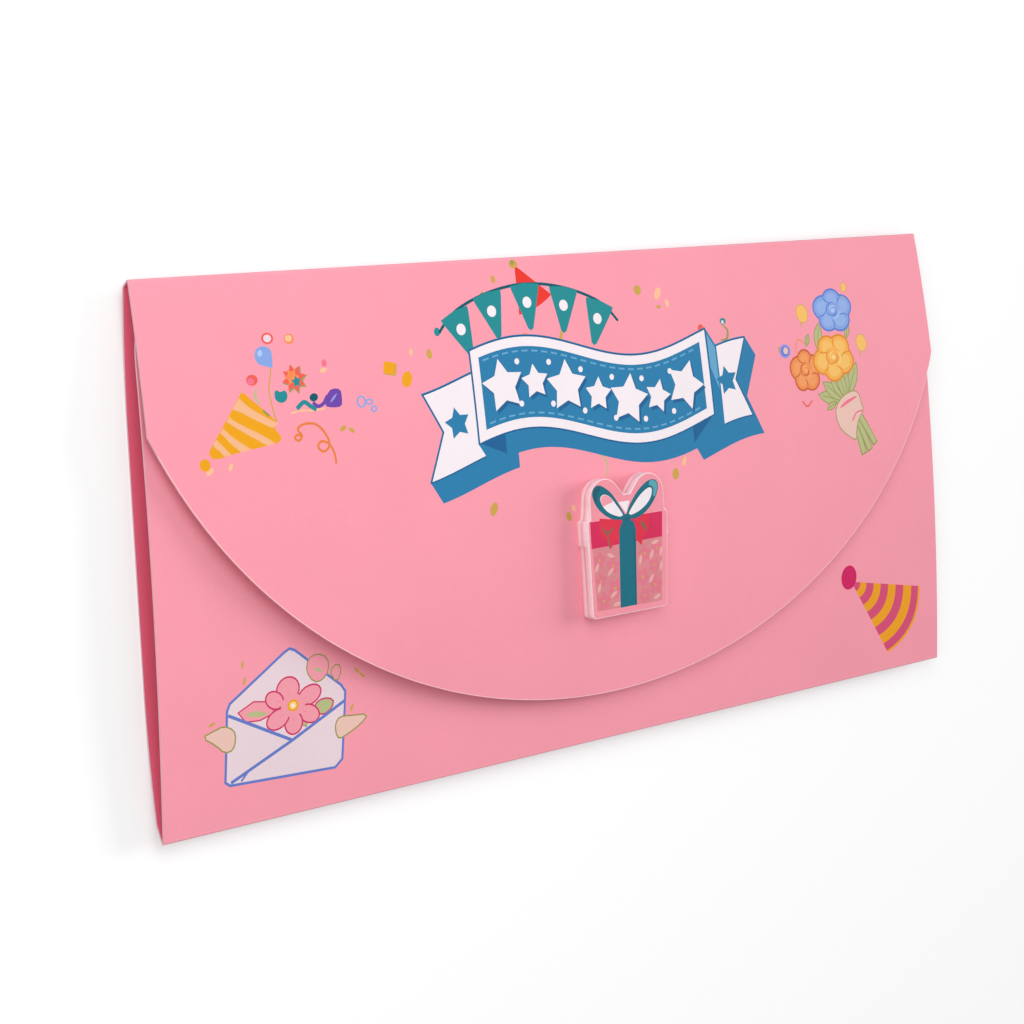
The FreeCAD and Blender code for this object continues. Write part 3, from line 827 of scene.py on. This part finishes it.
# one sheet, printed flat and then folded; a fold's corner is given on the inside, as y and height
cover = {
    "halfWidth": 105.0, "thickness": 0.4, "flatHalf": 22.0, "flatHeight": 0.4,
    "topFront": (49.6, 3.4), "topBack": (48.6, 1.95), "bottomBack": (-46.8, 1.95), "bottomFront": (-49.6, 3.4),
    "flapAxis": (-10.04, -378.23), "flapRadius": 386.26, "flapEnd": -39.8,
    "flapOval": (55.94, 112.2, 95.74), "flapStraight": 22.2,
    "frontAxis": (0.0, -643.06), "frontRadius": 648.36, "frontEnd": 41.6,
    "frontCorner": 7.0, "cornerShare": 0.2,     # how far the free edge's corners are drawn in
    "tipShare": 0.45, "tipSteps": 30,           # extra points round the flap's tip
    # width of the highlight painted along the flap's cut edge
    "edgeHighlightWidth": 0.3,
    "bends": {"flap": 26, "front": 22, "back": 10, "fold": 7},
}


def coverProfile():
    # stations round the folded sheet: outer point, inner point, outward direction, length along the outside
    t = cover["thickness"]
    stations = []

    def station(inner, angle):
        n = (math.cos(angle), math.sin(angle))
        stations.append({"inner": inner, "outer": (inner[0] + n[0] * t, inner[1] + n[1] * t), "normal": n})

    def arc(axis, radius, yFrom, yTo, steps, up):
        def angleOf(y):
            a = math.acos((y - axis[0]) / radius)
            return a if up else -a
        a0, a1 = angleOf(yFrom), angleOf(yTo)
        for i in range(steps + 1):
            a = a0 + (a1 - a0) * i / steps
            station((axis[0] + radius * math.cos(a), axis[1] + radius * math.sin(a)), a)

    def fold(corner, toAngle):
        fromAngle = math.atan2(stations[-1]["normal"][1], stations[-1]["normal"][0])
        while toAngle > fromAngle:
            toAngle -= 2 * math.pi
        steps = max(2, round(cover["bends"]["fold"] * (fromAngle - toAngle) / 2.2))
        for i in range(1, steps + 1):
            station(corner, fromAngle + (toAngle - fromAngle) * i / steps)

    def outwardOf(a, b):
        return math.atan2(b[0] - a[0], -(b[1] - a[1]))

    def backAxis(corner):
        dy = abs(corner[0]) - cover["flatHalf"]
        dz = corner[1] - cover["flatHeight"]
        radius = (dy * dy + dz * dz) / (2 * dz)
        return (math.copysign(cover["flatHalf"], corner[0]), cover["flatHeight"] + radius), radius

    bends, flat = cover["bends"], cover["flatHalf"]
    topFront, topBack, bottomBack, bottomFront = (
        cover[corner] for corner in ("topFront", "topBack", "bottomBack", "bottomFront"))
    axisY, radius = cover["flapAxis"][0], cover["flapRadius"]
    flapTip = axisY + radius * (cover["flapEnd"] - axisY) / (radius + t)
    arc(cover["flapAxis"], radius, flapTip, topFront[0], bends["flap"], True)
    fold(topFront, outwardOf(topFront, topBack))
    station(topBack, outwardOf(topFront, topBack))
    axis, radius = backAxis(topBack)
    fold(topBack, -math.acos((topBack[0] - axis[0]) / radius))
    arc(axis, radius, topBack[0], flat, bends["back"], False)
    axis, radius = backAxis(bottomBack)
    arc(axis, radius, -flat, bottomBack[0], bends["back"], False)
    fold(bottomBack, outwardOf(bottomBack, bottomFront))
    station(bottomFront, outwardOf(bottomBack, bottomFront))
    axis, radius = cover["frontAxis"], cover["frontRadius"]
    fold(bottomFront, math.acos((bottomFront[0] - axis[0]) / radius))
    frontStart = len(stations) - 1
    arc(axis, radius, bottomFront[0], cover["frontEnd"], bends["front"], True)
    # stations that fall together are kept once
    kept, u = [], 0.0
    for i, s in enumerate(stations):
        if kept:
            step = math.dist(s["outer"], kept[-1]["outer"])
            if step < 1e-4:
                if i == frontStart:
                    frontStart = len(kept) - 1
                continue
            u += step
        if i == frontStart:
            frontStart = len(kept)
        s["u"] = u
        kept.append(s)
    return kept, frontStart


profile, frontStart = coverProfile()


def lengthAt(y, first, last):
    for a, b in zip(profile[first:last], profile[first + 1:last + 1]):
        if min(a["outer"][0], b["outer"][0]) - 1e-6 <= y <= max(a["outer"][0], b["outer"][0]) + 1e-6:
            share = (y - a["outer"][0]) / (b["outer"][0] - a["outer"][0])
            return a["u"] + (b["u"] - a["u"]) * share
    return profile[last]["u"] if y > 0 else profile[first]["u"]


def profileAt(u):
    for a, b in zip(profile, profile[1:]):
        if u <= b["u"] + 1e-9:
            share = min(1.0, max(0.0, (u - a["u"]) / (b["u"] - a["u"])))
            outer, inner, normal = ([p + (q - p) * share for p, q in zip(a[key], b[key])]
                                    for key in ("outer", "inner", "normal"))
            return outer, inner, Vector(normal).normalized()
    last = profile[-1]
    return last["outer"], last["inner"], Vector(last["normal"])


def flapHalfWidth(y):
    middle, halfX, halfY = cover["flapOval"]
    if y >= cover["flapStraight"]:
        return cover["halfWidth"]
    return min(cover["halfWidth"], halfX * math.sqrt(max(0.0, 1 - ((y - middle) / halfY) ** 2)))


def holds(ring, x, y):
    inside = False
    for a, b in zip(ring, ring[1:] + ring[:1]):
        if (a[1] > y) != (b[1] > y) and x < (b[0] - a[0]) * (y - a[1]) / (b[1] - a[1]) + a[0]:
            inside = not inside
    return inside


def triangulated(outline, bendPairs, shapes):
    # cuts the sheet along every printed outline and bend; each triangle gets the ink of the top shape on it
    points, edges = [], []
    for ring in [outline] + [ring for _, ring in shapes]:
        start = len(points)
        points.extend(Vector(p) for p in ring)
        edges += [(start + i, start + (i + 1) % len(ring)) for i in range(len(ring))]
    for pair in bendPairs:
        edges.append((len(points), len(points) + 1))
        points.extend(Vector(p) for p in pair)
    flat, _, triangles, _, _, _ = delaunay_2d_cdt(points, edges, [], 0, 2e-3, False)
    boxes = []
    for ink, ring in shapes[::-1]:
        xs, ys = [p[0] for p in ring], [p[1] for p in ring]
        boxes.append((min(xs), max(xs), min(ys), max(ys), ring, ink))
    kept = []
    for triangle in triangles:
        x = sum(flat[i][0] for i in triangle) / 3
        y = sum(flat[i][1] for i in triangle) / 3
        if not holds(outline, x, y):
            continue
        ink = next((ink for x0, x1, y0, y1, ring, ink in boxes
                    if x0 < x < x1 and y0 < y < y1 and holds(ring, x, y)), "cover")
        kept.append((list(triangle), ink))
    return flat, kept


def addInk(mesh, colours):
    layer = mesh.color_attributes.new(name="ink", type="FLOAT_COLOR", domain="CORNER")
    for polygon, ink in zip(mesh.polygons, colours):
        colour = paint(inks[ink])
        for index in polygon.loop_indices:
            layer.data[index].color = colour


def smoothMesh(name, verts, faces, sharpFrom=None):
    # sharpFrom: edges at more than this many degrees stay sharp
    mesh = bpy.data.meshes.new(name)
    mesh.from_pydata(verts, [], faces)
    mesh.shade_smooth()
    if sharpFrom:
        mesh.set_sharp_from_angle(angle=math.radians(sharpFrom))
    return mesh


def addPiece(name, mesh, material, node):
    piece = bpy.data.objects.new(name, mesh)
    mesh.materials.append(material)
    bpy.context.scene.collection.objects.link(piece)
    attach(piece, "root")
    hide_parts(node)


def buildCover():
    half = cover["halfWidth"]
    flapLast = cover["bends"]["flap"]
    # outline of the flat sheet, through every bend; the flap's round end has extra points near its tip
    left, right, bendPairs = [], [], []
    flapLength = profile[flapLast]["u"]
    samples = {round(s["u"], 5) for s in profile}
    for i in range(1, cover["tipSteps"]):
        samples.add(round(flapLength * cover["tipShare"] * (i / cover["tipSteps"]) ** 2, 5))
    samples.add(round(lengthAt(cover["flapStraight"], 0, flapLast), 5))
    freeEnd, corner = profile[-1]["u"], cover["frontCorner"]
    for i in range(8):
        samples.add(round(freeEnd - corner * (1 - math.sin(math.pi * i / 14)), 5))

    def widthAt(u):
        return flapHalfWidth(profileAt(u)[0][0]) if u < flapLength - 0.5 else half

    for u in sorted(samples):
        width = widthAt(u)
        if freeEnd - u < corner:
            width -= corner * (1 - math.cos(math.asin(1 - (freeEnd - u) / corner))) * cover["cornerShare"]
        if width < 0.05:
            right.append((0.0, u))
            continue
        right.append((width, u))
        left.append((-width, u))
    outline = right + left[::-1]
    for u in sorted({round(s["u"], 5) for s in profile[1:-1]}):
        bendPairs.append([(-widthAt(u), u), (widthAt(u), u)])
    shapes = []
    for printed, first, last in ((flapPrint, 0, flapLast), (frontPrint, frontStart, len(profile) - 1)):
        shapes += [(ink, [(x, lengthAt(y, first, last)) for x, y in ring]) for ink, ring in printed]
    # a thin pale band is painted along the flap's cut edge as a highlight, where the rounded edge would catch
    # light
    onFlap = [p for p in left[::-1] + right if p[1] < flapLength - 0.5 and abs(p[0]) < half - 0.01]
    shapes += drawStraight("paintedEdgeHighlight", onFlap, cover["edgeHighlightWidth"])
    flat, triangles = triangulated(outline, bendPairs, shapes)
    print("sheet cut into", len(triangles), "triangles")
    verts, index, faces, colours, normals = [], {}, [], [], []

    def vertex(x, point):
        key = (round(x, 4), round(point[0], 4), round(point[1], 4))
        if key not in index:
            index[key] = len(verts)
            verts.append((x * mm, point[0] * mm, point[1] * mm))
        return index[key]

    spots = []
    for p in flat:
        outer, inner, n = profileAt(p[1])
        spots.append((vertex(p[0], outer), vertex(p[0], inner), Vector((0, n[0], n[1]))))
    rim = {}
    for corners, ink in triangles:
        outside = [spots[i][0] for i in corners]
        inside = [spots[i][1] for i in corners][::-1]
        if len(set(outside)) == 3:
            faces.append(outside)
            colours.append(ink)
            normals += [spots[i][2] for i in corners]
        if len(set(inside)) == 3:
            faces.append(inside)
            colours.append("inside")
            normals += [-spots[i][2] for i in corners[::-1]]
        for a, b in zip(corners, corners[1:] + corners[:1]):
            rim[(a, b)] = True
    for a, b in rim:
        if (b, a) in rim:
            continue
        ring = [spots[b][0], spots[a][0], spots[a][1], spots[b][1]]
        ring = [v for i, v in enumerate(ring) if v != ring[i - 1]]
        if len(ring) < 3:
            continue
        faces.append(ring)
        colours.append("cutEdge")
        first, second, third = (Vector(verts[v]) for v in ring[:3])
        normals += [(second - first).cross(third - second).normalized()] * len(ring)
    mesh = smoothMesh("cardCover", verts, faces)
    mesh.normals_split_custom_set([tuple(n) for n in normals])
    addInk(mesh, colours)
    addPiece("cardCover", mesh, printedCard(), "card_cover")


buildCover()
print("cover built")

# printed face on a thick mounting layer
badge = {
    "middle": 2.9, "boxHalf": 11.0, "boxLow": -23.7, "boxTop": -3.7, "corner": 0.9, "step": 0.8,
    "slant": 1.5, "loopMiddle": 6.0, "loopHeight": 0.0, "loopRadius": 4.2, "valleyHalf": 0.9,
    "valley": 0.55, "faceBottom": 10.73, "faceTop": 11.33, "bevel": 0.16, "backBottom": 8.17,
    "lidHalf": 11.5, "lidLow": -9.1, "lidCorner": 0.25,
    "faceSharp": 40, "backSharp": 50,
    # side of the back layer: share of its height, and how far it stands out there
    "belly": [(0.0, -0.22), (0.06, -0.08), (0.22, 0.0), (0.44, -0.03), (0.5, -0.2), (0.56, -0.03), (0.78, 0.0),
              (0.94, -0.07), (1.0, -0.2)],
}


def badgeOutline(lid=False):
    b = badge

    def quarter(middleX, middleY, radius, degrees):
        return [(middleX + radius * math.cos(math.radians(a)), middleY + radius * math.sin(math.radians(a)))
                for a in degrees]

    def side(slant):
        half = quarter(
            b["boxHalf"] - slant - b["corner"], b["boxLow"] + b["corner"], b["corner"], range(-90, 1, 15)
        )
        shoulder = b["lidHalf"] if lid else b["boxHalf"]
        if lid:
            lean = slant * (b["boxTop"] - b["lidLow"]) / (b["boxTop"] - b["boxLow"])
            half += [(b["boxHalf"] - lean, b["lidLow"] - 0.2)]
            half += quarter(shoulder - b["lidCorner"], b["lidLow"] + 0.3, b["lidCorner"], (-60, -30, 0))
        half += quarter(shoulder - b["step"], b["boxTop"] - b["step"], b["step"], range(0, 91, 15))
        half += quarter(b["loopMiddle"], b["loopHeight"], b["loopRadius"], (7.5 * i for i in range(19)))
        return half + [(b["valleyHalf"], b["valley"])]

    left = [(b["middle"] - x, y) for x, y in side(0.0)[::-1]]
    return [(b["middle"] + x, y) for x, y in side(b["slant"])] + left


bow = {
    "leftOuter": [
        (2.2, -3.8), (1.3, -2.5), (0.1, -0.7), (-1.4, 1.2), (-3.0, 2.4), (-4.4, 3.1), (-5.6, 3.0),
        (-6.4, 2.2), (-6.6, 1.1), (-6.0, -0.5), (-5.0, -1.9), (-3.4, -3.2), (-1.7, -4.1), (-0.2, -4.5),
        (1.2, -4.5), (1.9, -4.2)
    ],
    "leftInner": [
        (1.5, -3.6), (0.8, -2.6), (-0.4, -1.1), (-1.4, 0.1), (-2.5, 0.9), (-3.6, 1.1), (-4.3, 0.7),
        (-4.5, 0.1), (-4.0, -1.1), (-3.0, -2.3), (-1.7, -3.1), (-0.4, -3.6), (0.6, -3.9), (1.3, -3.8)
    ],
    "rightOuter": [
        (2.3, -3.9), (3.0, -2.5), (4.0, -1.1), (5.5, 0.5), (7.2, 1.8), (8.8, 2.6), (10.2, 2.8), (11.3, 2.4),
        (11.7, 1.4), (11.4, 0.1), (10.5, -1.4), (9.1, -2.8), (7.5, -3.9), (5.8, -4.6), (4.2, -4.8),
        (3.0, -4.4)
    ],
    "rightInner": [
        (3.0, -3.7), (3.6, -2.8), (4.8, -1.6), (6.3, -0.2), (7.8, 0.7), (9.0, 1.2), (9.8, 1.0), (9.9, 0.3),
        (9.4, -1.0), (8.3, -2.1), (6.6, -3.1), (4.8, -3.7), (3.6, -3.9)
    ],
    "tail": [
        (-0.6, -22.3), (0.2, -6.6), (1.0, -5.1), (2.1, -4.6), (3.3, -4.8), (4.4, -5.4), (4.8, -6.7),
        (3.9, -22.3)
    ],
}
wrapping = {
    "flowers": [
        (-5.6, -12.0), (-2.0, -13.6), (-5.4, -16.2), (-1.8, -18.2), (-5.0, -20.4), (6.8, -12.2),
        (10.3, -11.4), (9.4, -14.9), (5.9, -16.9), (9.4, -18.9), (6.2, -20.7)
    ],
    "leaves": [
        (-3.6, -11.0, -20), (-6.9, -14.4, 60), (-3.6, -15.4, 40), (-6.4, -18.6, 70), (-3.2, -19.9, 30),
        (-2.6, -21.6, 10), (8.8, -10.4, 10), (8.2, -13.6, 60), (11.2, -13.4, 80), (7.6, -18.4, 50),
        (11.0, -16.4, 80), (8.6, -21.8, 20), (5.2, -14.4, 70)
    ],
}


def badgePrint():
    shapes = []
    # wrapped box with faint blossoms, and the band across the lid
    shapes += [("blossomGround", [(-6.9, -22.2), (10.9, -22.4), (12.0, -9.3), (-7.3, -9.4)])]
    random.seed(4)
    for x, y in wrapping["flowers"]:
        r = random.uniform(1.5, 2.0)
        turn = random.uniform(0, 72)
        for i in range(5):
            a = math.radians(turn + 72 * i)
            shapes += [("blossom", oval(
                x + r * 0.6 * math.cos(a), y + r * 0.6 * math.sin(a), r * 0.44, r * 0.36, turn + 72 * i, 10
            ))]
        shapes += [("gold", oval(x, y, r * 0.18, steps=8))]
    for x, y, turn in wrapping["leaves"]:
        shapes += [("blossomPale", leafShape(x, y, 2.3, 0.8, turn))]
    shapes += [("crimson", [(-7.5, -9.5), (12.0, -9.3), (12.4, -4.1), (-7.5, -4.1)])]
    # red tails under the bow
    shapes += [
        ("scarlet", [
            (-4.9, -3.6), (0.9, -4.7), (0.3, -6.1), (0.0, -9.2), (-1.0, -8.6), (-2.4, -10.2), (-3.1, -8.4),
            (-4.7, -7.5), (-5.1, -5.4)
        ]),
        ("scarlet", [
            (4.5, -4.6), (8.8, -4.1), (8.6, -6.6), (7.6, -8.2), (6.5, -8.6), (6.2, -10.5), (4.6, -8.9),
            (4.8, -6.7)
        ])
    ]
    shapes += drawLine("sprig", [(-4.4, -5.3), (-3.0, -6.9), (-1.2, -5.8)], 0.6, taper=True)
    shapes += drawLine("sprig", [(-3.0, -6.9), (-2.6, -9.8)], 0.35)
    shapes += [
        ("sprig", leafShape(6.2, -5.4, 2.6, 0.8, -50)), ("sprig", leafShape(7.0, -5.6, 2.0, 0.5, -80))
    ]
    shapes += [("badgeTeal", bow["tail"])]
    shapes += drawStraight("badgeTealDark", [(4.4, -7.0), (3.7, -22.2)], 0.35)
    # two loops and the knot
    shapes += [("white", [(0.4, -0.9), (3.5, -0.9), (2.4, -3.4)])]
    for side in ("left", "right"):
        shapes += [("badgeTeal", softened(bow[side + "Outer"])), ("white", softened(bow[side + "Inner"]))]
    shapes += [("petal", softened([
        (-4.3, 0.5), (-3.5, 0.95), (-2.5, 0.8), (-1.4, 0.0), (-0.9, -0.7), (-2.4, -1.0), (-3.8, -1.4),
        (-4.3, -0.2)
    ], 1))]
    shapes += [
        ("badgeTealLight", softened([
            (9.3, 2.5), (10.2, 2.65), (11.1, 2.2), (11.5, 1.4), (11.2, 0.2), (10.5, -1.0), (10.0, -0.6),
            (10.3, 0.3), (10.2, 1.1), (9.7, 1.5), (9.0, 1.6)
        ], 1)),
        ("badgeTealDark", softened([
            (-4.4, 2.9), (-5.5, 2.8), (-6.2, 2.1), (-6.4, 1.1), (-5.6, -0.4), (-5.2, -0.1), (-5.3, 1.0),
            (-4.9, 1.7), (-4.2, 2.0)
        ], 1))
    ]
    shapes += [
        ("badgeTeal", oval(2.4, -4.3, 1.5, 0.8)), ("badgeTealDark", leafShape(1.5, -4.7, 1.9, 0.35, 6))
    ]
    return shapes


def loopSurface(rings, colours):
    # rings of equal length joined by quads and closed below; the last ring is left open for the printed top
    faces, inkNames = [], []
    count = len(rings[0])
    for k in range(len(rings) - 1):
        for i in range(count):
            j = (i + 1) % count
            faces.append([k * count + i, k * count + j, (k + 1) * count + j, (k + 1) * count + i])
            inkNames.append(colours[k])
    faces.append(list(range(count))[::-1])
    inkNames.append(colours[0])
    return faces, inkNames


def buildBadgeFace():
    outline = badgeOutline()
    inset = grown(outline, -badge["bevel"])
    flat, triangles = triangulated(inset, [], [("badgeBorder", grown(inset, -0.02))] + badgePrint())
    low, top = badge["faceBottom"], badge["faceTop"]
    bevel, middle = badge["bevel"], grown(outline, -badge["bevel"] * 0.3)
    verts = []
    for ring, height in ((outline, low), (outline, top - bevel), (middle, top - bevel * 0.3), (inset, top)):
        verts += [(x * mm, y * mm, height * mm) for x, y in ring]
    count = len(outline)
    faces, colours = loopSurface([outline] * 4, ["badgeEdge"] * 3)
    place = {}
    for i, (x, y) in enumerate(inset):
        place[(round(x, 3), round(y, 3))] = 3 * count + i
    spots = []
    for p in flat:
        key = (round(p[0], 3), round(p[1], 3))
        if key not in place:
            place[key] = len(verts)
            verts.append((p[0] * mm, p[1] * mm, top * mm))
        spots.append(place[key])
    for corners, ink in triangles:
        face = [spots[i] for i in corners]
        if len(set(face)) == 3:
            faces.append(face)
            colours.append("badgeBorder" if ink == "cover" else ink)
    mesh = smoothMesh("badgeFace", verts, faces, badge["faceSharp"])
    addInk(mesh, colours)
    addPiece("badgeFace", mesh, glossyPrint(), "gift_badge_face")


def buildBadgeBack():
    # the layer's side bellies out a little and shows where two plies meet
    outline = badgeOutline(lid=True)
    low, high = badge["backBottom"], badge["faceBottom"]
    rings = [[(x, y, low + (high - low) * h) for x, y in grown(outline, by)] for h, by in badge["belly"]]
    verts = [(x * mm, y * mm, z * mm) for ring in rings for x, y, z in ring]
    faces, _ = loopSurface(rings, [""] * len(rings))
    count = len(outline)
    faces.append([(len(rings) - 1) * count + i for i in range(count)])
    mesh = smoothMesh("badgeBack", verts, faces, badge["backSharp"])
    addPiece("badgeBack", mesh, foamFinish(), "gift_badge_back")


buildBadgeFace()
buildBadgeBack()
print("badge built")


def dressNode(name, material):
    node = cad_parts[name]
    for holder in node.material_slots:
        holder.material = material
    if not node.material_slots:
        node.data.materials.append(material)


discs = {
    "closure_hook_dot": ("hookDisc", (238, 226, 230), 900.0),
    "closure_loop_dot": ("loopDisc", (244, 234, 236), 1500.0),
}
for node, finish in discs.items():
    dressNode(node, feltFinish(*finish))
dressNode("popup_insert", insertFinish())
print("closure and insert finished")

# lamps: place and width in metres, power in watts
studio = {
    "world": 0.36, "backdrop": 1.0, "floorShare": 0.74, "floorGlow": 0.31, "floorHalf": 6.0,
    "lamps": {
        "keyLight": ((-0.14, 0.2, 0.28), 0.34, 0.57),
        "frontLight": ((-0.75, 0.02, 0.6), 0.6, 2.4),
        "sideLight": ((1.6, 0.2, 0.62), 0.9, 20.0),
    },
}


def seenRays(tree):
    # 1 for the camera's rays and for those of gloss and glass, 0 for the rays that light the card
    path = tree.nodes.new("ShaderNodeLightPath")
    total = path.outputs["Is Camera Ray"]
    for kind in ("Is Glossy Ray", "Is Transmission Ray"):
        total = mathNode(tree, "MAXIMUM", total, path.outputs[kind])
    return total


def mixShaders(tree, share, first, second, output):
    mix = fillNode(
        tree, tree.nodes.new("ShaderNodeMixShader"), {0: share, 1: first.outputs[0], 2: second.outputs[0]}
    )
    tree.links.new(mix.outputs[0], tree.nodes[output].inputs["Surface"])


def buildFloor():
    size = studio["floorHalf"]
    mesh = bpy.data.meshes.new("studioFloor")
    mesh.from_pydata([
        (-size, -size, 0), (size, -size, 0), (size, size, 0), (-size, size, 0)
    ], [], [(0, 1, 2, 3)])
    floor = bpy.data.objects.new("studioFloor", mesh)
    bpy.context.scene.collection.objects.link(floor)
    material, tree, shader, place = newMaterial("paleFloor")
    tree.nodes.remove(shader)
    # seen from above the floor is nearly white and keeps the shadow; light from below passes it, so that
    # the card's back can be looked at too
    share = studio["floorShare"]
    pale = fillNode(tree, tree.nodes.new("ShaderNodeBsdfDiffuse"), {"Color": (share, share, share, 1)})
    glow = fillNode(tree, tree.nodes.new("ShaderNodeEmission"), {"Strength": studio["floorGlow"]})
    both = fillNode(tree, tree.nodes.new("ShaderNodeAddShader"), {0: pale.outputs[0], 1: glow.outputs[0]})
    below = tree.nodes.new("ShaderNodeNewGeometry").outputs["Backfacing"]
    fromAbove = mathNode(tree, "SUBTRACT", seenRays(tree), below, clamp=True)
    mixShaders(tree, fromAbove, tree.nodes.new("ShaderNodeBsdfTransparent"), both, "Material Output")
    mesh.materials.append(material)


def addSoftLight(name, place, size, power):
    data = bpy.data.lights.new(name, "AREA")
    data.shape = "DISK"
    data.size = size
    data.energy = power
    lamp = bpy.data.objects.new(name, data)
    lamp.location = place
    lamp.rotation_euler = (-Vector(place)).to_track_quat("-Z", "Y").to_euler()
    bpy.context.scene.collection.objects.link(lamp)


def buildStudio():
    buildFloor()
    for name, (place, size, power) in studio["lamps"].items():
        addSoftLight(name, place, size, power)
    world = bpy.data.worlds.new("studioWorld")
    bpy.context.scene.world = world
    world.use_nodes = True
    tree = world.node_tree
    light = fillNode(tree, tree.nodes["Background"], {"Color": (1, 1, 1, 1), "Strength": studio["world"]})
    backdrop = fillNode(tree, tree.nodes.new("ShaderNodeBackground"), {"Strength": studio["backdrop"]})
    mixShaders(tree, seenRays(tree), light, backdrop, "World Output")
    bpy.context.scene.view_settings.view_transform = "Standard"


buildStudio()
print("studio lit")

print("finished")
